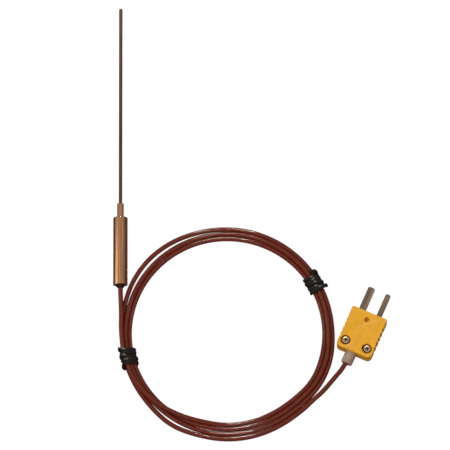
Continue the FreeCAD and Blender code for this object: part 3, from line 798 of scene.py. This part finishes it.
def swept(section: Callable[[bmesh.types.BMesh], None], places: list[Matrix]) -> bmesh.types.BMesh:
    """A section drawn once and extruded through a row of places, with its ends closed.

    Args:
        section: draws one closed ring of edges in the XY plane of a new bmesh, in metres.
        places: where the ring lies at each step.

    Returns:
        The swept solid.
    """
    shape = bmesh.new()
    section(shape)
    ring = list(shape.verts)
    outline = [vert.co.copy() for vert in ring]
    edges = list(shape.edges)
    bmesh.ops.contextual_create(shape, geom=edges)
    bmesh.ops.transform(shape, matrix=places[0], verts=ring)
    for place in places[1:]:
        grown = bmesh.ops.extrude_edge_only(shape, edges=edges)["geom"]
        ring = [item for item in grown if isinstance(item, bmesh.types.BMVert)]
        edges = [
            item for item in grown if isinstance(item, bmesh.types.BMEdge) and set(item.verts) <= set(ring)
        ]
        for vert, home in zip(ring, outline):
            vert.co = place @ home
    bmesh.ops.contextual_create(shape, geom=edges)
    return shape


# ---- lead --------------------------------------------------------------------------------------


class Side(Enum):
    """The side of the coil that a tie is on."""

    LEFT = "left"
    RIGHT = "right"


@dataclass
class Lead:
    """A metre of round lead: a free stretch from the pot, 3 3/8 turns, a free stretch to the plug.

    The turns lie in lanes side by side.  Where the ties pull them together the middle lane rides up,
    and the first stretch lies on top of the outer lane, then crosses inwards to become the inner turn.

    Attributes:
        centre, half_across, half_along, inner_shift: the oval of the coil's inner edge, which is
            shifted by inner_shift towards +X.
        tight_pitch, loose_pitch, tied_at: the lanes' spacing, tight at the angle tied_at and across.
        gaps: (lane, middle angle, half its reach, width) of each gap, which is on the lane's inner side.
        cross_from, cross_to: angles over which the first stretch crosses inwards.
        give_from, give_to: angles over which the lanes make room for it.
        leave_from, leave_to: angles over which they close up as the last stretch leaves.
        first_angle, last_angle: where the coil starts and ends, counted on through every turn.
        tie_angles, tie_lift, tie_reach: where the ties sit, and how high and how far they lift the lanes.
        pot_end, plug_end: the free stretches' control points.
    """

    diameter: float = 2.1
    length: float = LEAD_LENGTH
    centre: tuple[float, float] = (46.5, -52.2)
    half_across: float = 41.8
    half_along: float = 42.05
    inner_shift: float = 0.4
    tight_pitch: float = 1.65
    loose_pitch: float = 2.16
    tied_at: float = 13.0
    gaps: tuple[tuple[int, float, float, float], ...] = (
        (2, 138.0, 42.0, 1.2),
        (2, 235.5, 13.0, 1.3),
        (1, 340.0, 10.0, 0.95),
    )
    cross_from: float = 199.0
    cross_to: float = 260.0
    give_from: float = 234.0
    give_to: float = 261.0
    leave_from: float = 308.0
    leave_to: float = 331.0
    first_angle: float = 180.0
    last_angle: float = 1395.0
    points_per_turn: int = 24
    steps_per_point: int = 8
    steps_round: int = 6
    tie_angles: dict[Side, float] = field(default_factory=lambda: {Side.LEFT: 195.0, Side.RIGHT: 33.0})
    tie_lift: float = 0.62
    tie_reach: float = 32.0
    pot_end: tuple[Place, ...] = ((0.0, -25.0, 0.0), (0.0, -33.9, 0.0), (0.5, -42.9, -0.025))
    plug_end: tuple[Place, ...] = (
        (84.3, -82.3, -1.8),
        (88.8, -78.5, -1.475),
        (93.3, -73.3, -0.275),
        (98.97, -66.79, 0.825),
        (102.36, -59.0, 0.825),
    )

    def pitch(self, angle: float) -> float:
        """Distance between neighbouring lanes at an angle round the coil."""
        share = math.sin(math.radians(angle - self.tied_at)) ** 2
        return self.tight_pitch + (self.loose_pitch - self.tight_pitch) * share

    def inner_edge(self, angle: float) -> float:
        """Radius of the coil's inner edge, before the lanes give way.

        Args:
            angle: degrees round the coil.

        Returns:
            The radius.
        """
        cos = math.cos(math.radians(angle))
        sin = math.sin(math.radians(angle))
        return 1 / math.hypot(cos / self.half_across, sin / self.half_along) + self.inner_shift * cos

    def strands(self, angle: float) -> list[tuple[float, float]]:
        """Where each pass of the lead goes by at an angle.

        Args:
            angle: degrees round the coil, from +X, of 0 to 360.

        Returns:
            (radius, height) of the middle of each pass, from the first, in millimetres.
        """
        wide = self.diameter
        past = (angle - self.first_angle) % 360 + self.first_angle
        given = smooth_step(self.give_from, self.give_to, past)
        room = 1 - smooth_step(self.leave_from, self.leave_to, past)
        inner = self.inner_edge(past) - wide * given * room
        pitch = self.pitch(past)
        lift = sum(self.tie_lift * bump_round(at, self.tie_reach, past) for at in self.tie_angles.values())
        floor = TABLE + wide / 2 + lift
        full_turns = int((self.last_angle - self.first_angle) // 360)
        passes = full_turns + 1 if past <= self.last_angle - 360 * full_turns else full_turns
        found = []
        for turn in range(passes):
            lane = turn - 1 + given
            radius = inner + wide / 2 + lane * pitch
            for first, middle, half, width in self.gaps:
                radius += width * bump_round(middle, half, past) * smooth_step(first - 1, first, lane)
            found.append([radius, floor])
        if given < 1:
            outer = self.inner_edge(past) + wide / 2 + 2 * pitch
            inward = smooth_step(self.cross_from, self.cross_to, past)
            found[0][0] = outer + (inner + wide / 2 - wide * (1 - given) - outer) * inward
        middle = 2 if given < 0.5 else 1
        beside = [found[middle - 1], *found[middle + 1:middle + 2]]
        found[middle][1] = self.resting(found[middle][0], beside)
        if given < 1:
            found[0][1] = self.resting(found[0][0], found[1:])
        return [tuple(strand) for strand in found]

    def resting(self, radius: float, below: list[list[float]]) -> float:
        """Height at which a strand lies on others.

        Args:
            radius: the strand's radius from the coil's centre.
            below: [radius, height] of each strand that it may lie on.

        Returns:
            The height of its middle.
        """
        heights = [min(height for _, height in below)]
        for other, height in below:
            off = abs(other - radius)
            if off < self.diameter:
                heights.append(height + math.sqrt(self.diameter**2 - off**2))
        return max(heights)

    def coil_points(self) -> list[Place]:
        """The coil's control points, evenly turned, each a little outside the line that it bends."""
        step = 360 / self.points_per_turn
        outside = 1 / math.cos(math.radians(step / 2))
        points = []
        angle = self.first_angle
        while angle <= self.last_angle:
            turn = int((angle - self.first_angle) // 360)
            radius, height = self.strands(angle % 360)[turn]
            x = self.centre[0] + radius * outside * math.cos(math.radians(angle))
            y = self.centre[1] + radius * outside * math.sin(math.radians(angle))
            points.append((x, y, height))
            angle += step
        return points

    def build(self, palette: Palette) -> bpy.types.Object:
        """Lays the whole lead as one smooth line with a round section.

        Args:
            palette: the finished materials.

        Returns:
            The lead.
        """
        curve = bpy.data.curves.new("lead", "CURVE")
        curve.dimensions = "3D"
        spline = curve.splines.new("NURBS")
        points = [*self.pot_end, *self.coil_points(), *self.plug_end]
        spline.points.add(len(points) - 1)
        for place, point in zip(spline.points, points):
            place.co = (*metres(*point), 1.0)
        spline.order_u = 3
        spline.use_endpoint_u = True
        spline.resolution_u = self.steps_per_point
        curve.bevel_depth = self.diameter / 2 * MM
        curve.bevel_resolution = self.steps_round
        curve.use_fill_caps = True
        replaced = ("lead_tail_probe", "lead_coil", "lead_tail_plug")
        return new_piece("lead", curve, "lead_jacket", palette, replaced)


@dataclass
class TwistTie:
    """Plastic-coated wire wound round the bundle in close, uneven turns, its two ends left standing.

    Attributes:
        side: which of the two ties it is.
        start: the way that its first end faces, in degrees from outwards towards up.
        turns, width, shift: its turns, how far they spread, and how far off the tie's angle.
        tails: how far each end stands off the bundle.
        ribbon, thickness: the coated wire's width and thickness.
        bulge, side_bulge, top_bulge: how far a turn stands off at most, and the even share of that at
            the bundle's sides and the uneven share at its top.
        bulge_rate, bulge_start: how fast its bulging changes as it winds, and from where.
        wander, wander_rate, twist: how far, how fast and with how much twist the turns stray.
        clearance: the least gap to the table.
        tail_steps: steps of the winding over which an end rises.
    """

    side: Side
    start: float
    turns: float
    shift: float
    tails: tuple[float, float]
    width: float = 9.6
    ribbon: float = 1.86
    thickness: float = 0.78
    core_limits: tuple[float, float] = (0.15, 0.6)
    wing_share: float = 0.5
    bulge: float = 0.6
    side_bulge: float = 0.35
    top_bulge: float = 0.5
    bulge_rate: float = 0.61
    bulge_start: float = 40.0
    wander: float = 0.34
    wander_rate: float = 1.37
    twist: float = 14.0
    clearance: float = 0.04
    tail_steps: int = 8
    steps_per_turn: int = 28
    smooth: float = 50.0

    def outline(self, strands: list[tuple[float, float]], lead: Lead, angle: float) -> Vector:
        """Point on the skin round a bundle's section.

        Args:
            strands: (radius, height) of each strand's middle.
            lead: the lead, for its diameter.
            angle: the way that the skin faces, in degrees from outwards towards up.

        Returns:
            (radius, height) of the point, with half the tie's thickness to spare.
        """
        way = Vector((math.cos(math.radians(angle)), math.sin(math.radians(angle))))
        furthest = max((Vector(strand) for strand in strands), key=way.dot)
        return furthest + way * (lead.diameter / 2 + self.thickness / 2)

    def places(self, lead: Lead) -> list[Matrix]:
        """Where the tie's section lies at each step of its winding.

        Args:
            lead: the lead that it is wound round.

        Returns:
            The frames, in metres.
        """
        steps = int(self.turns * self.steps_per_turn)
        travel = self.width - self.ribbon
        radius = lead.strands(lead.tie_angles[self.side])[1][0]
        found = []
        for step in range(steps + 1):
            share = step / steps
            facing = self.start + 360 * self.turns * share
            wave = math.sin(math.radians(facing * self.wander_rate + self.start))
            along = (share - 0.5) * travel + self.wander * wave + self.shift
            angle = lead.tie_angles[self.side] + math.degrees(along / radius)
            spot = self.outline(lead.strands(angle), lead, facing)
            upward = max(0.0, math.sin(math.radians(facing)))
            spot += Vector((math.cos(math.radians(facing)), upward)) * self._proud(facing, step, steps)
            spot.y = max(spot.y, TABLE + self.thickness / 2 + self.clearance)
            found.append(self._place(lead, angle, spot, facing + self.twist * wave))
        return found

    def _proud(self, facing: float, step: int, steps: int) -> float:
        """How far the tie stands off the bundle.

        Args:
            facing: the way that it faces there, in degrees from outwards towards up.
            step: the step of the winding, out of steps.

        Returns:
            The distance.
        """
        sideways = abs(math.cos(math.radians(facing)))
        upward = max(0.0, math.sin(math.radians(facing)))
        uneven = 0.5 + 0.5 * math.sin(math.radians(facing * self.bulge_rate + self.bulge_start))
        side = self.side_bulge + (1 - self.side_bulge) * uneven
        bulging = self.bulge * (sideways * side + upward * self.top_bulge * uneven)
        off_start = max(0.0, 1 - step / self.tail_steps)
        off_end = max(0.0, 1 - (steps - step) / self.tail_steps)
        return bulging + self.tails[0] * off_start**2 + self.tails[1] * off_end**2

    @staticmethod
    def _place(lead: Lead, angle: float, spot: Vector, facing: float) -> Matrix:
        """Frame at a point of the skin.

        Args:
            lead: the lead, for its centre.
            angle: the point's angle round the coil.
            spot: its (radius, height).
            facing: the way that the skin faces there, in degrees from outwards towards up.

        Returns:
            The frame in metres: X along the bundle, Y out of the skin.
        """
        turn = math.radians(angle)
        outward = Vector((math.cos(turn), math.sin(turn), 0))
        along = Vector((-math.sin(turn), math.cos(turn), 0))
        up = Vector((0, 0, 1))
        normal = outward * math.cos(math.radians(facing)) + up * math.sin(math.radians(facing))
        origin = Vector((*lead.centre, 0)) + outward * spot.x + up * spot.y
        rotation = Matrix((along, normal, along.cross(normal))).transposed()
        return Matrix.Translation(origin * MM) @ rotation.to_4x4()

    def section(self, shape: bmesh.types.BMesh) -> None:
        """Draws the coated wire's section: a round core with a flat wing on each side.

        Args:
            shape: the new shape that it is drawn in.
        """
        bmesh.ops.create_circle(shape, segments=16, radius=self.ribbon / 2 * MM)
        flat = self.thickness / self.ribbon
        for vert in shape.verts:
            across = vert.co.x / (self.ribbon / 2 * MM)
            core = 1 - smooth_step(*self.core_limits, abs(across))
            vert.co.y *= flat * (self.wing_share + (1 - self.wing_share) * core)

    def build(self, palette: Palette, lead: Lead) -> bpy.types.Object:
        """Winds the tie.

        Args:
            palette: the finished materials.
            lead: the lead that it is wound round.

        Returns:
            The tie.
        """
        shape = swept(self.section, self.places(lead))
        name = f"tie_{self.side.value}"
        return new_piece(name, mesh_of(name, shape, self.smooth), "tie_coating", palette, [f"twist_{name}"])


# ---- plug --------------------------------------------------------------------------------------


@dataclass
class Plug:
    """Two-blade plug, whose moulded halves get softened edges.

    Facets within the angle flat are one face, and edges past the angle sharp are rounded by edge.
    """

    edge: float = 0.12
    weld: float = 0.001
    flat: float = 0.5
    sharp: float = 40.0
    smooth: float = 30.0

    def soften(self, node: str, palette: Palette) -> bpy.types.Object:
        """Copies a moulded half, joins its facets and rounds every sharp edge a little.

        Args:
            node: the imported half.
            palette: the finished materials.

        Returns:
            The rounded piece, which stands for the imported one.
        """
        shape = bmesh.new()
        shape.from_mesh(frame["nodes"][node].data)
        bmesh.ops.remove_doubles(shape, verts=shape.verts, dist=self.weld * MM)
        bmesh.ops.dissolve_limit(
            shape, angle_limit=math.radians(self.flat), verts=shape.verts, edges=shape.edges
        )
        limit = math.radians(self.sharp)
        sharp = [edge for edge in shape.edges if edge.is_manifold and edge.calc_face_angle(0) > limit]
        bmesh.ops.bevel(
            shape,
            geom=sharp,
            offset=self.edge * MM,
            offset_type="OFFSET",
            segments=2,
            profile=0.5,
            affect="EDGES",
            clamp_overlap=True,
            material=-1,
        )
        name = node.replace("plug_", "moulded_")
        return new_piece(name, mesh_of(name, shape, self.smooth), "plug_plastic", palette, [node])


@dataclass
class CoverScrews:
    """Two pan-head screws with a tapered cross recess and a rolled thread.

    Across and along are from the middle of the plug's front.  Head and shank are radii, and dome gives
    (share of the radius, depth) points of the head's top.  The recess's foot is given in shares of its
    reach and width, and turns are the angles at which the screws stopped.
    """

    across: float = 5.1
    along: float = -15.7
    head: float = 1.78
    head_height: float = 1.2
    dome: tuple[tuple[float, float], ...] = (
        (0.0, 0.0),
        (0.45, 0.02),
        (0.72, 0.1),
        (0.9, 0.27),
        (1.0, 0.52),
    )
    shank: float = 0.98
    pitch: float = 0.45
    thread_depth: float = 0.13
    point_share: float = 0.8
    cross_reach: float = 1.12
    cross_width: float = 0.6
    cross_depth: float = 0.9
    foot_reach: float = 0.45
    foot_width: float = 0.7
    cross_over: float = 0.4
    turns: tuple[float, float] = (12.0, 38.0)
    steps: int = 48
    smooth: float = 32.0

    def cross(self) -> bmesh.types.BMesh:
        """Two crossed wedges that narrow downwards, with their top above the head."""
        shape = bmesh.new()
        for turn in (0, 90):
            wedge = bmesh.ops.create_cube(shape, size=1.0)["verts"]
            for vert in wedge:
                at_top = vert.co.z > 0
                reach = self.cross_reach * (1.0 if at_top else self.foot_reach)
                half = self.cross_width / 2 * (1.0 if at_top else self.foot_width)
                height = self.cross_over if at_top else -self.cross_depth
                vert.co = metres(math.copysign(reach, vert.co.x), math.copysign(half, vert.co.y), height)
            bmesh.ops.rotate(shape, verts=wedge, matrix=Matrix.Rotation(math.radians(turn), 3, "Z"))
        return shape

    def blank(self, length: float) -> bmesh.types.BMesh:
        """Head and threaded shank, with the head's top at zero.

        Args:
            length: the whole screw, in millimetres.

        Returns:
            The screw without its recess.
        """
        under = -self.head_height
        profile = [(self.head * share, -depth) for share, depth in self.dome]
        profile += [(self.head, under), (self.shank, under)]
        height = under - self.pitch
        while height > -length + self.pitch:
            profile += [(self.shank, height), (self.shank - self.thread_depth, height - self.pitch / 2)]
            height -= self.pitch
        profile += [(self.shank * self.point_share, -length), (0, -length)]
        return turned(profile, self.steps)

    def build(self, palette: Palette) -> bpy.types.Object:
        """Turns both screws, cuts their cross recesses and sets them in the cover.

        Args:
            palette: the finished materials.

        Returns:
            Both screws as one piece, dark below the tops of their heads.
        """
        low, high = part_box("cover_screws")
        length = (high.z - low.z) / MM
        both = bmesh.new()
        for side, turn in zip((-1, 1), self.turns):
            data = cut(self.blank(length), self.cross())
            place = Matrix.Translation((side * self.across * MM, self.along * MM, high.z - TABLE * MM))
            data.transform(plug_frame() @ place @ Matrix.Rotation(math.radians(turn), 4, "Z"))
            both.from_mesh(data)
            bpy.data.meshes.remove(data)
        name = "pan_screws"
        piece = new_piece(name, mesh_of(name, both, self.smooth), "screw_steel", palette, ["cover_screws"])
        finish = CleanMetal(paint(196, 178, 152), paint(96, 80, 64), roughness=0.3, sunk=high.z / MM)
        piece.data.materials[0] = finish.material("pan_screw_steel")
        return piece


# ---- studio ------------------------------------------------------------------------------------


class Rays(Enum):
    """The kinds of ray that a lamp acts on."""

    BOTH = "both"
    DIFFUSE = "diffuse"
    GLOSSY = "glossy"


@dataclass(frozen=True)
class SoftBox:
    """One oblong lamp that faces the object.

    Its size is width and height, its power is in watts, and rays are the kinds that it acts on.
    """

    name: str
    place: Place
    size: tuple[float, float]
    power: float
    tint: Place
    rays: Rays = Rays.BOTH

    def build(self, aim: Vector) -> None:
        """Hangs the lamp.

        Args:
            aim: the point that it faces, in metres.
        """
        data = bpy.data.lights.new(self.name, "AREA")
        data.shape = "RECTANGLE"
        data.size = self.size[0] * MM
        data.size_y = self.size[1] * MM
        data.energy = self.power
        data.color = self.tint
        lamp = bpy.data.objects.new(self.name, data)
        lamp.location = metres(*self.place)
        lamp.rotation_euler = (aim - lamp.location).to_track_quat("-Z", "Y").to_euler()
        lamp.visible_camera = False
        lamp.visible_diffuse = self.rays is not Rays.GLOSSY
        lamp.visible_glossy = self.rays is not Rays.DIFFUSE
        bpy.context.scene.collection.objects.link(lamp)


# The ceiling lights matt surfaces only and the back lamp shows in gloss only, so that long strands and
# polished metal keep a few short glints.
SOFT_BOXES = (
    SoftBox("window", (-900, 60, 470), (360, 1000), 1.45, (1.0, 0.92, 0.82)),
    SoftBox("ceiling", (-420, 60, 900), (500, 500), 3.0, (1.0, 0.92, 0.84), Rays.DIFFUSE),
    SoftBox("door", (880, 60, 500), (110, 900), 0.5, (1.0, 0.93, 0.88)),
    SoftBox("back", (-20, 790, 660), (130, 130), 13.0, (1.0, 0.97, 0.92), Rays.GLOSSY),
)

# The room's light from straight down, 0, to straight up, 1.
ROOM = (
    (0.0, (0.20, 0.15, 0.13, 1.0)),
    (0.5, (0.19, 0.14, 0.12, 1.0)),
    (0.62, (0.42, 0.37, 0.34, 1.0)),
    (1.0, (0.76, 0.71, 0.67, 1.0)),
)


@dataclass
class Studio:
    """Pale floor, soft lights and the camera, which looks down steeply from the lead's side.

    The camera and the lamps face aim.  The camera takes in frame_width at its distance, and sees no
    further than reach, in metres.  The floor glows by floor_light, for an even white ground.
    """

    aim: Place = (46.0, -3.3, 0.0)
    elevation: float = 76.0
    distance: float = 6500.0
    frame_width: float = 198.0
    sensor: float = 36.0
    reach: float = 40.0
    floor_size: float = 6000.0
    floor_drop: float = 0.02
    floor_greys: tuple[Colour, Colour] = ((0.12, 0.12, 0.12, 1.0), (0.14, 0.14, 0.14, 1.0))
    floor_cloud: float = 30.0
    floor_light: float = 0.94
    room_light: float = 0.95

    def build(self) -> None:
        """Makes the whole studio."""
        self.camera()
        self.floor()
        self.world()
        for box in SOFT_BOXES:
            box.build(metres(*self.aim))

    def camera(self) -> None:
        """Makes the camera."""
        data = bpy.data.cameras.new("camera")
        data.sensor_width = self.sensor
        data.lens = self.sensor * self.distance / self.frame_width
        data.clip_end = self.reach
        camera = bpy.data.objects.new("camera", data)
        tilt = math.radians(90 - self.elevation)
        back = Vector((0, -math.sin(tilt), math.cos(tilt)))
        camera.location = metres(*self.aim) + back * self.distance * MM
        camera.rotation_euler = (tilt, 0, 0)
        bpy.context.scene.collection.objects.link(camera)
        bpy.context.scene.camera = camera

    def floor(self) -> None:
        """Makes the pale floor, just clear of the part's lowest face."""
        shape = bmesh.new()
        bmesh.ops.create_grid(shape, x_segments=1, y_segments=1, size=self.floor_size / 2 * MM)
        bmesh.ops.translate(shape, verts=shape.verts, vec=(0, 0, (TABLE - self.floor_drop) * MM))
        data = bpy.data.meshes.new("floor")
        shape.to_mesh(data)
        shape.free()
        floor = bpy.data.objects.new("floor", data)
        bpy.context.scene.collection.objects.link(floor)
        shader = Shader(bpy.data.materials.new("floor"))
        grey = shader.blend(shader.noise(shader.point(), self.floor_cloud), *self.floor_greys)
        data.materials.append(
            shader.surface(
                grey,
                0.9,
                Specular_IOR_Level=0.0,
                Emission_Color=(1, 1, 1, 1),
                Emission_Strength=self.floor_light,
            )
        )
        floor.visible_diffuse = False
        floor.visible_glossy = False

    def world(self) -> None:
        """Makes the soft light from all round, graded by height."""
        shader = Shader(bpy.data.worlds.new("studio"))
        way = shader.node("ShaderNodeTexCoord", output="Generated")
        height = shader.node("ShaderNodeMapRange", None, {"Value": shader.part(way, 2), "From Min": -1.0})
        light = shader.node("ShaderNodeValToRGB", {"stops": ROOM}, {0: height})
        glow = shader.node("ShaderNodeBackground", None, {"Color": light, "Strength": self.room_light})
        shader.close(glow, "ShaderNodeOutputWorld")
        bpy.context.scene.world = shader.owner
        bpy.context.scene.view_settings.view_transform = "Standard"


def main() -> None:
    """Builds the scene, the camera and the lead first."""
    logging.basicConfig(level=logging.INFO, format="%(name)s: %(message)s")
    Studio().build()
    palette = Palette()
    palette.dress_frame()
    lead = Lead()
    cord = lead.build(palette)
    LOG.info("laid %s", cord.name)
    ties = [
        TwistTie(Side.LEFT, start=-60.0, turns=5.3, shift=-0.5, tails=(0.4, 0.7)),
        TwistTie(Side.RIGHT, start=30.0, turns=5.1, shift=-1.9, tails=(1.2, 0.3)),
    ]
    pieces = [tie.build(palette, lead) for tie in ties]
    plug = Plug()
    pieces += [plug.soften(node, palette) for node in ("plug_base", "plug_cover")]
    pieces.append(CoverScrews().build(palette))
    for piece in pieces:
        LOG.info("built %s", piece.name)
    carried = ["blade_positive", "blade_negative", "cable_grommet", "terminal_screws", "clamp_washers"]
    carried += ["threaded_inserts", "plug_core_positive", "plug_core_negative"]


if __name__ == "__main__":
    main()
